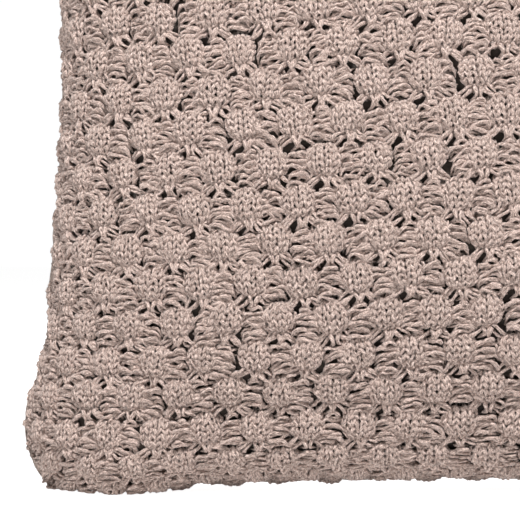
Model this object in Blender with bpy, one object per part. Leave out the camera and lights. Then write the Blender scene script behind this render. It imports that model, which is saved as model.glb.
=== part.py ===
"""Square knitted throw pillow with a zipped back, standing upright on its lower corners.

The frame: +X is the pillow's right as seen from its front, +Y runs from the knitted front to the
zipped back, +Z is up. The origin is on the floor, under the middle of the pillow. Units are metres.

Both faces follow one height field, skin_depth(x, z): a superellipse crown over a square outline
whose edges pull in between plump corners. Every layer is that skin, moved inwards.
"""

import math

import bmesh
import bpy
import numpy as np
from mathutils import Matrix

# Driving dimensions of the filled pillow
HALF_WIDTH = 0.250
HALF_HEIGHT = 0.250
HALF_DEPTH = 0.076
CROWN_POWER = 2.6
SAG = 0.14
SETTLE = 0.012
FOOT_SPREAD = 0.40
FOOT_HEIGHT = 0.050
MIDDLE_Z = HALF_HEIGHT - SETTLE

# How far the edges pull in between the corners, and where along the edge
LOBE_END = 0.045
LOBE_FADE = 0.105
SIDE_STEP = 0.010
SIDE_BOW = 0.010
END_STEP = 0.015
END_BOW = 0.003
CORNER_ROUND = 0.012
CORNER_REACH = 0.045

# The layers, as distances in from the outer skin
GAP = 0.0003
KNIT = 0.0050
LINING = 0.0008
BACK_CLOTH = 0.0015
INSERT_INSET = 0.0115
CASING = 0.0009
COVER_RIM = 0.0009
INSERT_RIM = 0.0005

# The sewn seams, flat strips in the plane between front and back
SEAM_HALF = 0.0006
SEAM_WIDTH = 0.0060
SEAM_SETBACK = 0.0006
SEAM_SPAN = 0.985
INSERT_SEAM_HALF = 0.0002
CLOSING_SPAN = 0.30

# The zip, straight along X across the back, where it holds the back flat
ZIP_Z = 0.062
ZIP_Y = 0.0530
ZIP_HALF = 0.170
SLOT_HALF = 0.0062
SLOT_CLOSE = 0.007
FLAT_X = 0.186
FLAT_X_FADE = 0.226
FLAT_Z = 0.018
FLAT_Z_FADE = 0.046
TAPE_OUT = 0.0170
TAPE_IN = 0.0034
TAPE_THICK = 0.0006
COIL_OUT = 0.0031
COIL_IN = 0.0008
COIL_PITCH = 0.0085
COIL_WAIST = 0.86
STOP_LENGTH = 0.0035
TOPSTITCH_OUT = 0.0085
THREAD_RADIUS = 0.0004
BARTACK_X = 0.1715
BARTACK_WIDTH = 0.0028
BARTACK_THICK = 0.0008

# The slider, parked against the top stops, and the pull that hangs from its bail
SLIDER_LENGTH = 0.0115
SLIDER_HALF = 0.0052
SLIDER_PLATE = 0.0012
SLIDER_CHANNEL = 0.0036
SLIDER_STAND_OFF = 0.0005
SLIDER_X = ZIP_HALF - STOP_LENGTH - SLIDER_STAND_OFF - 0.5 * SLIDER_LENGTH
POST_HALF = 0.0005
POST_LENGTH = 0.0030
LIP = 0.0010
BAIL_WIRE = 0.0007
BAIL_RISE = 0.0030
BAIL_HALF = 0.0040
BAIL_BEND = 0.0010
PULL_BORE = 0.00085
PULL_EYE = 0.0017
PULL_WIDTH = 0.0052
PULL_LENGTH = 0.0260
PULL_THICK = 0.0012
PULL_HOLE = 0.0014

# A blank label inside the cover
LABEL_X = 0.080
LABEL_Z = 0.012
LABEL_WIDTH = 0.030
LABEL_HEIGHT = 0.026
LABEL_INSET = 0.0045
LABEL_THICK = 0.0004

# How finely each layer is divided
COVER_GRID = 16
INSERT_GRID = 12
UPPER_ROWS = 13
LOWER_ROWS = 5
SEAM_COLUMNS = 22
CLOSING_COLUMNS = 6
LABEL_GRID = 3
ROUND_SIDES = 20

# Colours: linear red, green, blue, with roughness and metallic value
YARN = ((0.392, 0.304, 0.266), 0.95, 0.0)
LINING_CLOTH = ((0.245, 0.200, 0.178), 0.90, 0.0)
BACK = ((0.410, 0.325, 0.285), 0.90, 0.0)
TAPE = ((0.330, 0.262, 0.228), 0.85, 0.0)
NYLON = ((0.300, 0.238, 0.205), 0.45, 0.0)
METAL = ((0.560, 0.540, 0.510), 0.30, 1.0)
CASING_CLOTH = ((0.800, 0.790, 0.770), 0.90, 0.0)
FIBRE = ((0.850, 0.850, 0.840), 0.95, 0.0)
LABEL = ((0.820, 0.810, 0.780), 0.60, 0.0)
THREAD = ((0.360, 0.285, 0.248), 0.80, 0.0)


def clear_scene():
    """Start from an empty scene."""
    for existing in list(bpy.data.objects):
        bpy.data.objects.remove(existing, do_unlink=True)


def new_collection(name):
    """A collection linked to the scene."""
    collection = bpy.data.collections.new(name)
    bpy.context.scene.collection.children.link(collection)
    return collection


def make_material(name, finish):
    """A Principled material from a (colour, roughness, metallic) finish."""
    colour, roughness, metallic = finish
    material = bpy.data.materials.new(name)
    material.use_nodes = True
    shader = material.node_tree.nodes["Principled BSDF"]
    shader.inputs["Base Color"].default_value = (*colour, 1.0)
    shader.inputs["Roughness"].default_value = roughness
    shader.inputs["Metallic"].default_value = metallic
    material.diffuse_color = (*colour, 1.0)
    return material


def smooth_step(start, end, value):
    """0 before start, 1 after end, and a smooth rise between them."""
    t = min(max((value - start) / (end - start), 0.0), 1.0)
    return t * t * (3.0 - 2.0 * t)


def edge_pull(along, step, bow):
    """How far an edge lies inside its straight line, at a distance along it from the corner."""
    corner = CORNER_ROUND * max(0.0, 1.0 - along / CORNER_REACH) ** 2
    lobe = step * smooth_step(LOBE_END, LOBE_FADE, along)
    return corner + lobe + bow * smooth_step(LOBE_END, HALF_WIDTH, along)


def half_width_at(z):
    """The outline's half width at a height."""
    along = max(HALF_HEIGHT - abs(z - MIDDLE_Z), 0.0)
    return HALF_WIDTH - edge_pull(along, SIDE_STEP, SIDE_BOW)


def half_height_at(x):
    """The outline's half height at a distance from the middle."""
    along = max(HALF_WIDTH - abs(x), 0.0)
    return HALF_HEIGHT - edge_pull(along, END_STEP, END_BOW)


def skin_depth(x, z):
    """Distance of the outer skin from the seam's plane, at a place inside the outline.

    The filling settles, so the lower half is the thicker, and it spreads just above the floor.
    """
    across = min(abs(x) / half_width_at(z), 1.0) ** CROWN_POWER
    upward = min(abs(z - MIDDLE_Z) / half_height_at(x), 1.0) ** CROWN_POWER
    settled = 1.0 - SAG * (z - MIDDLE_Z) / HALF_HEIGHT
    settled += FOOT_SPREAD * (1.0 - smooth_step(0.0, FOOT_HEIGHT, z))
    return HALF_DEPTH * settled * math.sqrt((1.0 - across) * (1.0 - upward))


def zip_hold(x, z):
    """How firmly the zip holds the back flat: 1 at the zip, fading to 0 round it."""
    along = 1.0 - smooth_step(FLAT_X, FLAT_X_FADE, abs(x))
    away = 1.0 - smooth_step(FLAT_Z, FLAT_Z_FADE, abs(z - ZIP_Z))
    return along * away


def back_depth(x, z):
    """skin_depth of the back, flattened where the zip runs."""
    free = skin_depth(x, z)
    return free + zip_hold(x, z) * (ZIP_Y - free)


def skin_point(x, z, side, inset, rim):
    """A point on the front (side -1) or the back (side 1), inset from the skin.

    rim is how far the layer's edge keeps from the seam's plane. The floor flattens what hangs
    below it.
    """
    depth = skin_depth(x, z) if side < 0 else back_depth(x, z)
    shrink = (HALF_WIDTH - inset) / HALF_WIDTH
    inner = (HALF_DEPTH - inset - rim) / HALF_DEPTH
    height = MIDDLE_Z + (max(z, 0.0) - MIDDLE_Z) * (MIDDLE_Z - inset) / MIDDLE_Z
    return (x * shrink, side * (rim + depth * inner), height)


def place(across, upward):
    """The position inside the outline for two numbers from -1 to 1, closer together at the edges."""
    x = HALF_WIDTH * across
    z = MIDDLE_Z + HALF_HEIGHT * upward
    for _ in range(12):
        x = half_width_at(z) * math.sin(0.5 * math.pi * across)
        z = MIDDLE_Z + half_height_at(x) * math.sin(0.5 * math.pi * upward)
    return x, z


def add_object(name, built, material, collection, smooth=True):
    """Turn a closed bmesh into a named object with one material, its faces pointing out."""
    bmesh.ops.recalc_face_normals(built, faces=built.faces)
    if built.calc_volume(signed=True) < 0.0:
        bmesh.ops.reverse_faces(built, faces=built.faces)
    mesh = bpy.data.meshes.new(name)
    built.to_mesh(mesh)
    built.free()
    if smooth:
        mesh.shade_smooth()
        mesh.set_sharp_from_angle(angle=math.radians(40.0))
    made = bpy.data.objects.new(name, mesh)
    made.data.materials.append(material)
    collection.objects.link(made)
    return made


def grid_layer(built, columns, rows, point_at):
    """A grid of columns by rows faces whose vertices lie where point_at(column, row) says."""
    made = bmesh.ops.create_grid(built, x_segments=columns, y_segments=rows, size=1.0)
    for vertex in made["verts"]:
        column = round((vertex.co.x + 1.0) * columns / 2.0)
        row = round((vertex.co.y + 1.0) * rows / 2.0)
        vertex.co = point_at(column, row)


def closed_sheet(name, columns, rows, outer, inner, material, collection):
    """A closed solid between two grids with the same layout, joined round their rims."""
    built = bmesh.new()
    grid_layer(built, columns, rows, outer)
    bmesh.ops.reverse_faces(built, faces=built.faces)
    grid_layer(built, columns, rows, inner)
    rims = [edge for edge in built.edges if edge.is_boundary]
    bmesh.ops.bridge_loops(built, edges=rims)
    return add_object(name, built, material, collection)


def face_layer(side, inset, rim, grid):
    """A function that places a square grid's vertices on one whole face of the pillow."""

    def point_at(column, row):
        x, z = place(2.0 * column / grid - 1.0, 2.0 * row / grid - 1.0)
        return skin_point(x, z, side, inset, rim)

    return point_at


def whole_face(name, side, inset, thickness, rim, grid, material, collection):
    """A shell over the whole front or back."""
    outer = face_layer(side, inset, rim, grid)
    inner = face_layer(side, inset + thickness, rim, grid)
    return closed_sheet(name, grid, grid, outer, inner, material, collection)


def back_columns():
    """Where the back panels' columns cross the zip's line, from left to right."""
    edge = half_width_at(ZIP_Z)
    slot_end = ZIP_HALF + SLOT_CLOSE
    turns = np.linspace(math.asin(slot_end / edge), 0.5 * math.pi, 6)
    outside = [edge * math.sin(turn) for turn in turns]
    inside = list(np.linspace(-ZIP_HALF, ZIP_HALF, 13))
    return [-x for x in reversed(outside)] + inside + outside


def slot_half(x):
    """Half the height of the opening between the back panels: the zip's slot, then a closed seam."""
    return SLOT_HALF if abs(x) <= ZIP_HALF + 1e-6 else GAP


def panel_layer(upward, rows, inset):
    """A function that places the back panel's vertices: upward is 1 above the zip, -1 below it.

    Row 0 is the edge at the zip and row 1 the end of the flat zone round it. skin_point draws an
    inset face towards the middle, so those two start lower, and both faces of the panel end level.
    """
    columns = back_columns()
    edge = half_width_at(ZIP_Z)
    last = 0.5 * math.pi * upward

    def point_at(column, row):
        x = columns[column]
        level = ZIP_Z + upward * (slot_half(x) if row == 0 else FLAT_Z)
        start = MIDDLE_Z + (level - MIDDLE_Z) * MIDDLE_Z / (MIDDLE_Z - inset)
        fraction = max(row - 1, 0) / (rows - 1)
        for _ in range(12):
            reach = half_height_at(x)
            first = math.asin((start - MIDDLE_Z) / reach)
            z = MIDDLE_Z + reach * math.sin(first + (last - first) * fraction)
            x = columns[column] * half_width_at(z) / edge
        return skin_point(x, z, 1, inset, COVER_RIM)

    return point_at


def back_panel(name, upward, rows, material, collection):
    """One of the two cloth panels that the zip joins."""
    outer = panel_layer(upward, rows, 0.0)
    inner = panel_layer(upward, rows, BACK_CLOTH)
    columns = len(back_columns()) - 1
    return closed_sheet(name, columns, rows, outer, inner, material, collection)


def edge_strip(name, position_at, insets, half_thickness, columns, material, collection):
    """A flat strip in the seam's plane that follows part of the outline."""

    def layer(y):
        def point_at(column, row):
            x, z = position_at(column / columns)
            inner = skin_point(x, z, 1, insets[row], 0.0)
            return (inner[0], y, inner[2])

        return point_at

    return closed_sheet(name, columns, 1, layer(half_thickness), layer(-half_thickness), material, collection)


def cover_seams(material, collection):
    """The sewn seam allowances along the four edges, in separate lengths mitred at the corners."""
    insets = (SEAM_SETBACK, SEAM_SETBACK + SEAM_WIDTH)

    def span(fraction):
        return SEAM_SPAN * (2.0 * fraction - 1.0)

    edges = {
        "seam_left": lambda fraction: place(-1.0, span(fraction)),
        "seam_right": lambda fraction: place(1.0, span(fraction)),
        "seam_bottom": lambda fraction: place(span(fraction), -1.0),
        "seam_top": lambda fraction: place(span(fraction), 1.0),
    }
    for name, position_at in edges.items():
        edge_strip(name, position_at, insets, SEAM_HALF, SEAM_COLUMNS, material, collection)


def box(name, low, high, material, collection):
    """A box between two corners."""
    built = bmesh.new()
    bmesh.ops.create_cube(built, size=1.0)
    for vertex in built.verts:
        vertex.co = [low[i] + (vertex.co[i] + 0.5) * (high[i] - low[i]) for i in range(3)]
    return add_object(name, built, material, collection, smooth=False)


def tube(name, points, radius, material, collection, radii=None):
    """A round wire or thread through the points."""
    curve = bpy.data.curves.new(name, "CURVE")
    curve.dimensions = "3D"
    curve.bevel_depth = radius
    curve.bevel_resolution = 2
    curve.use_fill_caps = True
    spline = curve.splines.new("POLY")
    spline.points.add(len(points) - 1)
    for index, point in enumerate(points):
        spline.points[index].co = (*point, 1.0)
        spline.points[index].radius = radii[index] if radii else 1.0
    curve.materials.append(material)
    made = bpy.data.objects.new(name, curve)
    collection.objects.link(made)
    return made


def zip_levels():
    """The y of the zip's layers: the back panel's outer and inner face, and the tape's middle."""
    panel_out = skin_point(0.0, ZIP_Z, 1, 0.0, COVER_RIM)[1]
    panel_in = skin_point(0.0, ZIP_Z, 1, BACK_CLOTH, COVER_RIM)[1]
    return panel_out, panel_in, panel_in - GAP - 0.5 * TAPE_THICK


def coil_end():
    """How far the coils reach from the middle, short of the stops."""
    return ZIP_HALF - STOP_LENGTH - GAP


def zip_chain(materials, collection):
    """The tapes and coils of both halves, the stops at the ends, and the sewing round them."""
    panel_out, _, middle_y = zip_levels()
    coil_radius = 0.5 * (COIL_OUT - COIL_IN)
    turns = 2 * round(coil_end() / COIL_PITCH)
    along = np.linspace(-coil_end(), coil_end(), 2 * turns + 1)
    swell = [1.0 if index % 2 else COIL_WAIST for index in range(len(along))]
    for name, upward in (("upper", 1), ("lower", -1)):
        edges = sorted((ZIP_Z + upward * TAPE_IN, ZIP_Z + upward * TAPE_OUT))
        low = (-ZIP_HALF, middle_y - 0.5 * TAPE_THICK, edges[0])
        high = (ZIP_HALF, middle_y + 0.5 * TAPE_THICK, edges[1])
        box("zip_tape_" + name, low, high, materials["tape"], collection)
        coil_z = ZIP_Z + upward * 0.5 * (COIL_OUT + COIL_IN)
        points = [(x, middle_y, coil_z) for x in along]
        tube("zip_coil_" + name, points, coil_radius, materials["nylon"], collection, swell)
        edges = sorted((ZIP_Z + upward * COIL_IN, ZIP_Z + upward * COIL_OUT))
        low = (coil_end() + GAP, middle_y - coil_radius, edges[0])
        high = (ZIP_HALF, middle_y + coil_radius, edges[1])
        box("zip_top_stop_" + name, low, high, materials["metal"], collection)
        stitch_z = ZIP_Z + upward * TOPSTITCH_OUT
        stitch_y = panel_out + GAP + THREAD_RADIUS
        ends = [(x, stitch_y, stitch_z) for x in (-ZIP_HALF, ZIP_HALF)]
        tube("zip_topstitch_" + name, ends, THREAD_RADIUS, materials["thread"], collection)
    low = (-ZIP_HALF, middle_y - coil_radius, ZIP_Z - COIL_OUT)
    high = (-coil_end() - GAP, middle_y + coil_radius, ZIP_Z + COIL_OUT)
    box("zip_bottom_stop", low, high, materials["metal"], collection)
    for name, side in (("left", -1), ("right", 1)):
        across = sorted((side * BARTACK_X, side * (BARTACK_X + BARTACK_WIDTH)))
        low = (across[0], panel_out + GAP, ZIP_Z - TOPSTITCH_OUT)
        high = (across[1], panel_out + GAP + BARTACK_THICK, ZIP_Z + TOPSTITCH_OUT)
        box("zip_bartack_" + name, low, high, materials["thread"], collection)


def mesh_from(curve_object, collection):
    """Replace a curve object with a mesh object of the same name and place."""
    graph = bpy.context.evaluated_depsgraph_get()
    mesh = bpy.data.meshes.new_from_object(curve_object.evaluated_get(graph))
    name = curve_object.name
    matrix = curve_object.matrix_world.copy()
    bpy.data.objects.remove(curve_object, do_unlink=True)
    built = bmesh.new()
    built.from_mesh(mesh)
    bmesh.ops.remove_doubles(built, verts=built.verts, dist=1e-5)
    bmesh.ops.recalc_face_normals(built, faces=built.faces)
    built.to_mesh(mesh)
    built.free()
    made = bpy.data.objects.new(name, mesh)
    made.matrix_world = matrix
    collection.objects.link(made)
    return made


def combine(target, tools, operation):
    """Apply Booleans to target and leave one mesh."""
    for tool in tools:
        cut = target.modifiers.new(operation.title() + " " + tool.name, "BOOLEAN")
        cut.operation = operation
        cut.object = tool
        cut.solver = "EXACT"
    graph = bpy.context.evaluated_depsgraph_get()
    mesh = bpy.data.meshes.new_from_object(target.evaluated_get(graph))
    target.modifiers.clear()
    target.data = mesh


def helper(made, cutters):
    """Put a Boolean's tool out of the render and into the cutters' collection."""
    for holder in list(made.users_collection):
        holder.objects.unlink(made)
    cutters.objects.link(made)
    made.hide_render = True
    made.display_type = "WIRE"
    return made


def slider_body(material, collection, cutters):
    """The slider: two plates round the chain, their lips, the post between the coils and the bail."""
    _, _, middle_y = zip_levels()
    half_length = 0.5 * SLIDER_LENGTH
    half_channel = 0.5 * SLIDER_CHANNEL
    lip_gap = 0.5 * TAPE_THICK + GAP
    top = middle_y + half_channel + SLIDER_PLATE
    bottom = middle_y - half_channel - SLIDER_PLATE

    def block(name, low, high, holder):
        shifted = [(low[0] + SLIDER_X, low[1], low[2]), (high[0] + SLIDER_X, high[1], high[2])]
        return box(name, shifted[0], shifted[1], material, holder)

    body = block("zip_slider", (-half_length, middle_y + half_channel, ZIP_Z - SLIDER_HALF),
                 (half_length, top, ZIP_Z + SLIDER_HALF), collection)
    parts = [
        block("slider_inner_plate", (-half_length, bottom, ZIP_Z - SLIDER_HALF),
              (half_length, middle_y - half_channel, ZIP_Z + SLIDER_HALF), cutters),
        block("slider_post", (-half_length, bottom + 0.5 * SLIDER_PLATE, ZIP_Z - POST_HALF),
              (-half_length + POST_LENGTH, top - 0.5 * SLIDER_PLATE, ZIP_Z + POST_HALF), cutters),
    ]
    for side in (-1, 1):
        edges = sorted((ZIP_Z + side * (SLIDER_HALF - LIP), ZIP_Z + side * SLIDER_HALF))
        parts.append(block("slider_outer_lip", (-half_length, middle_y + lip_gap, edges[0]),
                           (half_length, top - 0.5 * SLIDER_PLATE, edges[1]), cutters))
        parts.append(block("slider_inner_lip", (-half_length, bottom + 0.5 * SLIDER_PLATE, edges[0]),
                           (half_length, middle_y - lip_gap, edges[1]), cutters))
    rise = top + BAIL_RISE
    foot = top - 0.5 * SLIDER_PLATE
    route = [(-BAIL_HALF, foot), (-BAIL_HALF, rise - BAIL_BEND), (-BAIL_HALF + BAIL_BEND, rise),
             (BAIL_HALF - BAIL_BEND, rise), (BAIL_HALF, rise - BAIL_BEND), (BAIL_HALF, foot)]
    points = [(SLIDER_X + x, y, ZIP_Z) for x, y in route]
    bail = mesh_from(tube("slider_bail", points, BAIL_WIRE, material, cutters), cutters)
    parts.append(bail)
    for part in parts:
        helper(part, cutters)
    combine(body, parts, "UNION")
    set_origin(body, (SLIDER_X, middle_y, ZIP_Z))
    return body


def pivot_point():
    """The middle of the bail's straight run, which the pull turns about."""
    _, _, middle_y = zip_levels()
    return (SLIDER_X, middle_y + 0.5 * SLIDER_CHANNEL + SLIDER_PLATE + BAIL_RISE, ZIP_Z)


def rod(name, centre, radius, length, axis, cutters):
    """A round cutter or boss along X or Y."""
    built = bmesh.new()
    bmesh.ops.create_cone(built, cap_ends=True, segments=ROUND_SIDES, radius1=radius, radius2=radius,
                          depth=length)
    turn = {"X": Matrix.Rotation(0.5 * math.pi, 4, "Y"), "Y": Matrix.Rotation(0.5 * math.pi, 4, "X")}[axis]
    bmesh.ops.transform(built, matrix=Matrix.Translation(centre) @ turn, verts=built.verts)
    return helper(add_object(name, built, None, cutters, smooth=False), cutters)


def set_origin(made, point):
    """Move an object's origin to a point, leaving its shape where it is."""
    made.data.transform(Matrix.Translation([-value for value in point]))
    made.location = point


def pull_tab(material, collection, cutters):
    """The pull, hanging from the bail by an eye rolled round it, with a hole near its round end."""
    x, y, z = pivot_point()
    half = 0.5 * PULL_WIDTH
    end_z = z - PULL_LENGTH + half
    low = (x - half, y - 0.5 * PULL_THICK, end_z)
    high = (x + half, y + 0.5 * PULL_THICK, z - PULL_BORE)
    pull = box("zip_pull", low, high, material, collection)
    eye = rod("pull_eye", (x, y, z), PULL_EYE, PULL_WIDTH, "X", cutters)
    end = rod("pull_end", (x, y, end_z), half, PULL_THICK, "Y", cutters)
    combine(pull, [eye, end], "UNION")
    bore = rod("pull_bore", (x, y, z), PULL_BORE, 2.0 * PULL_WIDTH, "X", cutters)
    hole = rod("pull_hole", (x, y, end_z), PULL_HOLE, 4.0 * PULL_THICK, "Y", cutters)
    combine(pull, [bore, hole], "DIFFERENCE")
    set_origin(pull, (x, y, z))
    return pull


def care_label(material, collection):
    """A blank label lying inside the cover, below the zip."""

    def layer(inset):
        def point_at(column, row):
            x = LABEL_X + LABEL_WIDTH * column / LABEL_GRID
            z = LABEL_Z + LABEL_HEIGHT * row / LABEL_GRID
            return skin_point(x, z, 1, inset, COVER_RIM)

        return point_at

    closed_sheet("care_label", LABEL_GRID, LABEL_GRID, layer(LABEL_INSET),
                 layer(LABEL_INSET + LABEL_THICK), material, collection)


def build():
    """Make every piece of the pillow."""
    clear_scene()
    collection = new_collection("throw_pillow")
    cutters = new_collection("cutters")
    finishes = {
        "yarn": YARN,
        "lining": LINING_CLOTH,
        "back": BACK,
        "tape": TAPE,
        "nylon": NYLON,
        "metal": METAL,
        "casing": CASING_CLOTH,
        "fibre": FIBRE,
        "label": LABEL,
        "thread": THREAD,
    }
    materials = {name: make_material(name, finish) for name, finish in finishes.items()}

    whole_face("cover_front_knit", -1, 0.0, KNIT, COVER_RIM, COVER_GRID, materials["yarn"], collection)
    whole_face("cover_front_lining", -1, KNIT + GAP, LINING, COVER_RIM, COVER_GRID,
               materials["lining"], collection)
    back_panel("cover_back_upper", 1, UPPER_ROWS, materials["back"], collection)
    back_panel("cover_back_lower", -1, LOWER_ROWS, materials["back"], collection)
    cover_seams(materials["thread"], collection)
    zip_chain(materials, collection)
    slider_body(materials["metal"], collection, cutters)
    pull_tab(materials["metal"], collection, cutters)
    care_label(materials["label"], collection)

    for name, side in (("insert_casing_front", -1), ("insert_casing_back", 1)):
        whole_face(name, side, INSERT_INSET, CASING, INSERT_RIM, INSERT_GRID, materials["casing"], collection)
    filling = INSERT_INSET + CASING + GAP
    closed_sheet("fibre_fill", INSERT_GRID, INSERT_GRID, face_layer(-1, filling, INSERT_RIM, INSERT_GRID),
                 face_layer(1, filling, INSERT_RIM, INSERT_GRID), materials["fibre"], collection)
    edge_strip("insert_closing_seam", lambda fraction: place(CLOSING_SPAN * (2.0 * fraction - 1.0), -1.0),
               (INSERT_INSET + 0.5 * GAP, INSERT_INSET + CASING), INSERT_SEAM_HALF, CLOSING_COLUMNS,
               materials["thread"], collection)


build()
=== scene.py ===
"""Looks of the bubble-knit throw pillow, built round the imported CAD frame."""

import math

import bmesh
import bpy
import numpy as np
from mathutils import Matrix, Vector
from mathutils.kdtree import KDTree


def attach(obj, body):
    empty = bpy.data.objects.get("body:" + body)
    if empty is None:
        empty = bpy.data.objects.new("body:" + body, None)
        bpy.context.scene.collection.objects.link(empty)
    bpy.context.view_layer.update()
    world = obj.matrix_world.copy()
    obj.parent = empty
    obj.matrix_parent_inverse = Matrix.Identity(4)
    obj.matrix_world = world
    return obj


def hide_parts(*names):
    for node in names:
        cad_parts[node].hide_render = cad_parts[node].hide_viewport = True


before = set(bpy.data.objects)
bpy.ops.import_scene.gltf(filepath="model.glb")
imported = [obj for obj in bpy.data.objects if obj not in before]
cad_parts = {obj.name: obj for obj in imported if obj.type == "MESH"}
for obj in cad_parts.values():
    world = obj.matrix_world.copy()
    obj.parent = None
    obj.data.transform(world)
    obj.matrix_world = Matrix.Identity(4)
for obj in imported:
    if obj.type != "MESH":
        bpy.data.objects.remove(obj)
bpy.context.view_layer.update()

MM = 0.001
RANDOM = np.random.default_rng(165)

# The outline and skin of the cover, in metres, as the CAD part has them but for rounder corners.
HALF_WIDTH = HALF_HEIGHT = 0.250
HALF_DEPTH = 0.076
CROWN_POWER = 2.6
SAG = 0.14
FOOT_SPREAD, FOOT_HEIGHT = 0.40, 0.050
MIDDLE_Z = 0.238
LOBE_END, LOBE_FADE = 0.045, 0.105
SIDE_STEP, SIDE_BOW = 0.010, 0.010
END_STEP, END_BOW = 0.015, 0.003
CORNER_RADIUS = 0.045
COVER_RIM = 0.0009
ZIP_Z, ZIP_Y, ZIP_HALF = 0.062, 0.0530, 0.170
FLAT_X, FLAT_X_FADE = 0.186, 0.226
FLAT_Z, FLAT_Z_FADE = 0.018, 0.046
SHOULDER_X, SIDE_X = 0.195, 0.235
SETTLING_ROUNDS = 40

# The other layers and the zip, in metres, as the CAD part has them.
GAP = 0.0003
SEAM_HALF, SEAM_SETBACK, SEAM_WIDTH, SEAM_SPAN = 0.0006, 0.0006, 0.0060, 0.985
BACK_CLOTH = 0.0015
INSERT_INSET, CASING, INSERT_RIM = 0.0115, 0.0009, 0.0005
INSERT_SEAM_HALF, CLOSING_SPAN, FILLING_GAP = 0.0002, 0.30, 0.0022
SLOT_HALF, SLOT_CLOSE = 0.0062, 0.007
TAPE_IN, TAPE_OUT, TAPE_THICK = 0.0034, 0.0170, 0.0006
COIL_IN, COIL_OUT = 0.0008, 0.0031
STOP_LENGTH = 0.0035
STOP_ROUNDING, SLIDER_ROUNDING, PULL_ROUNDING = 0.00028, 0.00022, 0.0002
TOPSTITCH_OUT = 0.0085
BARTACK_X, BARTACK_WIDTH = 0.1715, 0.0028
LABEL_X, LABEL_Z, LABEL_WIDTH, LABEL_HEIGHT = 0.080, 0.012, 0.030, 0.026
LABEL_INSET, LABEL_THICK = 0.0045, 0.0004
LINING_INSET, LINING_THICK = 0.0074, 0.0007

# Threads and wires are given by their radius, in metres.
OVERLOCK_TURNS, OVERLOCK_THREAD = 150, 0.00028
COIL_PITCH, COIL_DEPTH, COIL_WIRE = 0.00145, 0.00088, 0.00029
COIL_END, COIL_SHIFT, COIL_CORD, COIL_CORD_OUT = 0.0004, 0.0003, 0.0004, 0.0021
TOPSTITCHES, TOPSTITCH_HALF, TOPSTITCH_THREAD = 106, 0.00132, 0.00028
BARTACK_STITCHES, BARTACK_THREAD = 44, 0.00024
CLOSING_STITCHES, CLOSING_THREAD = 34, 0.0002

# How far the filling may press the outer cloth and the inner casing out, in metres.
BACK_SWELL, CASING_SWELL = 0.0045, 0.0016
RELAX_STEPS = 20


# ---- the skin


def smooth_step(start, end, value):
    """0 before start, 1 after end, and an even curve between."""
    t = np.clip((value - start) / (end - start), 0, 1)
    return t * t * (3 - 2 * t)


def edge_pull(along, step, bow):
    """How far an edge lies in from the square, this far along it from the nearer corner."""
    short = CORNER_RADIUS - np.minimum(along, CORNER_RADIUS)
    corner = CORNER_RADIUS - np.sqrt(CORNER_RADIUS**2 - short**2)
    stepped = step * smooth_step(LOBE_END, LOBE_FADE, along)
    return corner + stepped + bow * smooth_step(LOBE_END, HALF_WIDTH, along)


def half_width_at(z):
    along = np.maximum(HALF_HEIGHT - np.abs(z - MIDDLE_Z), 0)
    return HALF_WIDTH - edge_pull(along, SIDE_STEP, SIDE_BOW)


def half_height_at(x):
    along = np.maximum(HALF_WIDTH - np.abs(x), 0)
    return HALF_HEIGHT - edge_pull(along, END_STEP, END_BOW)


def place(across, upward):
    """(x, z) of a place on the cover given as shares, -1 to 1, of its width and height."""
    x, z = HALF_WIDTH * across, MIDDLE_Z + HALF_HEIGHT * upward
    for _ in range(SETTLING_ROUNDS):
        new_x = half_width_at(z) * np.sin(math.pi / 2 * across)
        new_z = MIDDLE_Z + half_height_at(x) * np.sin(math.pi / 2 * upward)
        x, z = (x + new_x) / 2, (z + new_z) / 2
    return x, z


def front_depth(x, z):
    across = np.minimum(np.abs(x) / half_width_at(z), 1) ** CROWN_POWER
    upward = np.minimum(np.abs(z - MIDDLE_Z) / half_height_at(x), 1) ** CROWN_POWER
    foot = FOOT_SPREAD * (1 - smooth_step(0, FOOT_HEIGHT, z))
    settled = 1 - SAG * (z - MIDDLE_Z) / HALF_HEIGHT + foot
    return HALF_DEPTH * settled * np.sqrt((1 - across) * (1 - upward))


def back_depth(x, z):
    """As the front, but held flat round the zip."""
    free = front_depth(x, z)
    hold = 1 - smooth_step(FLAT_X, FLAT_X_FADE, np.abs(x))
    hold = hold * (1 - smooth_step(FLAT_Z, FLAT_Z_FADE, np.abs(z - ZIP_Z)))
    return free + hold * (ZIP_Y - free)


def skin_point(x, z, side, inset, rim=COVER_RIM):
    """The skin at (x, z), drawn in by inset: side is -1 at the front and 1 at the back."""
    depth = front_depth(x, z) if side < 0 else back_depth(x, z)
    return xyz(
        x * (HALF_WIDTH - inset) / HALF_WIDTH,
        side * (rim + depth * (HALF_DEPTH - inset - rim) / HALF_DEPTH),
        MIDDLE_Z + (np.maximum(z, 0) - MIDDLE_Z) * (MIDDLE_Z - inset) / MIDDLE_Z,
    )


def unit(v):
    return v / np.maximum(np.linalg.norm(v, axis=-1, keepdims=True), 1e-12)


def xyz(x, y, z):
    """Points from coordinates that are arrays or numbers."""
    return np.stack(np.broadcast_arrays(x, y, z), axis=-1)


def grid_normals(points):
    return unit(np.cross(np.gradient(points, axis=0), np.gradient(points, axis=1)))


# ---- meshes


def linked(name, mesh, materials):
    """A new object in the scene with this mesh."""
    made = bpy.data.objects.new(name, mesh)
    bpy.context.scene.collection.objects.link(made)
    for material in materials:
        mesh.materials.append(material)
    return made


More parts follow.
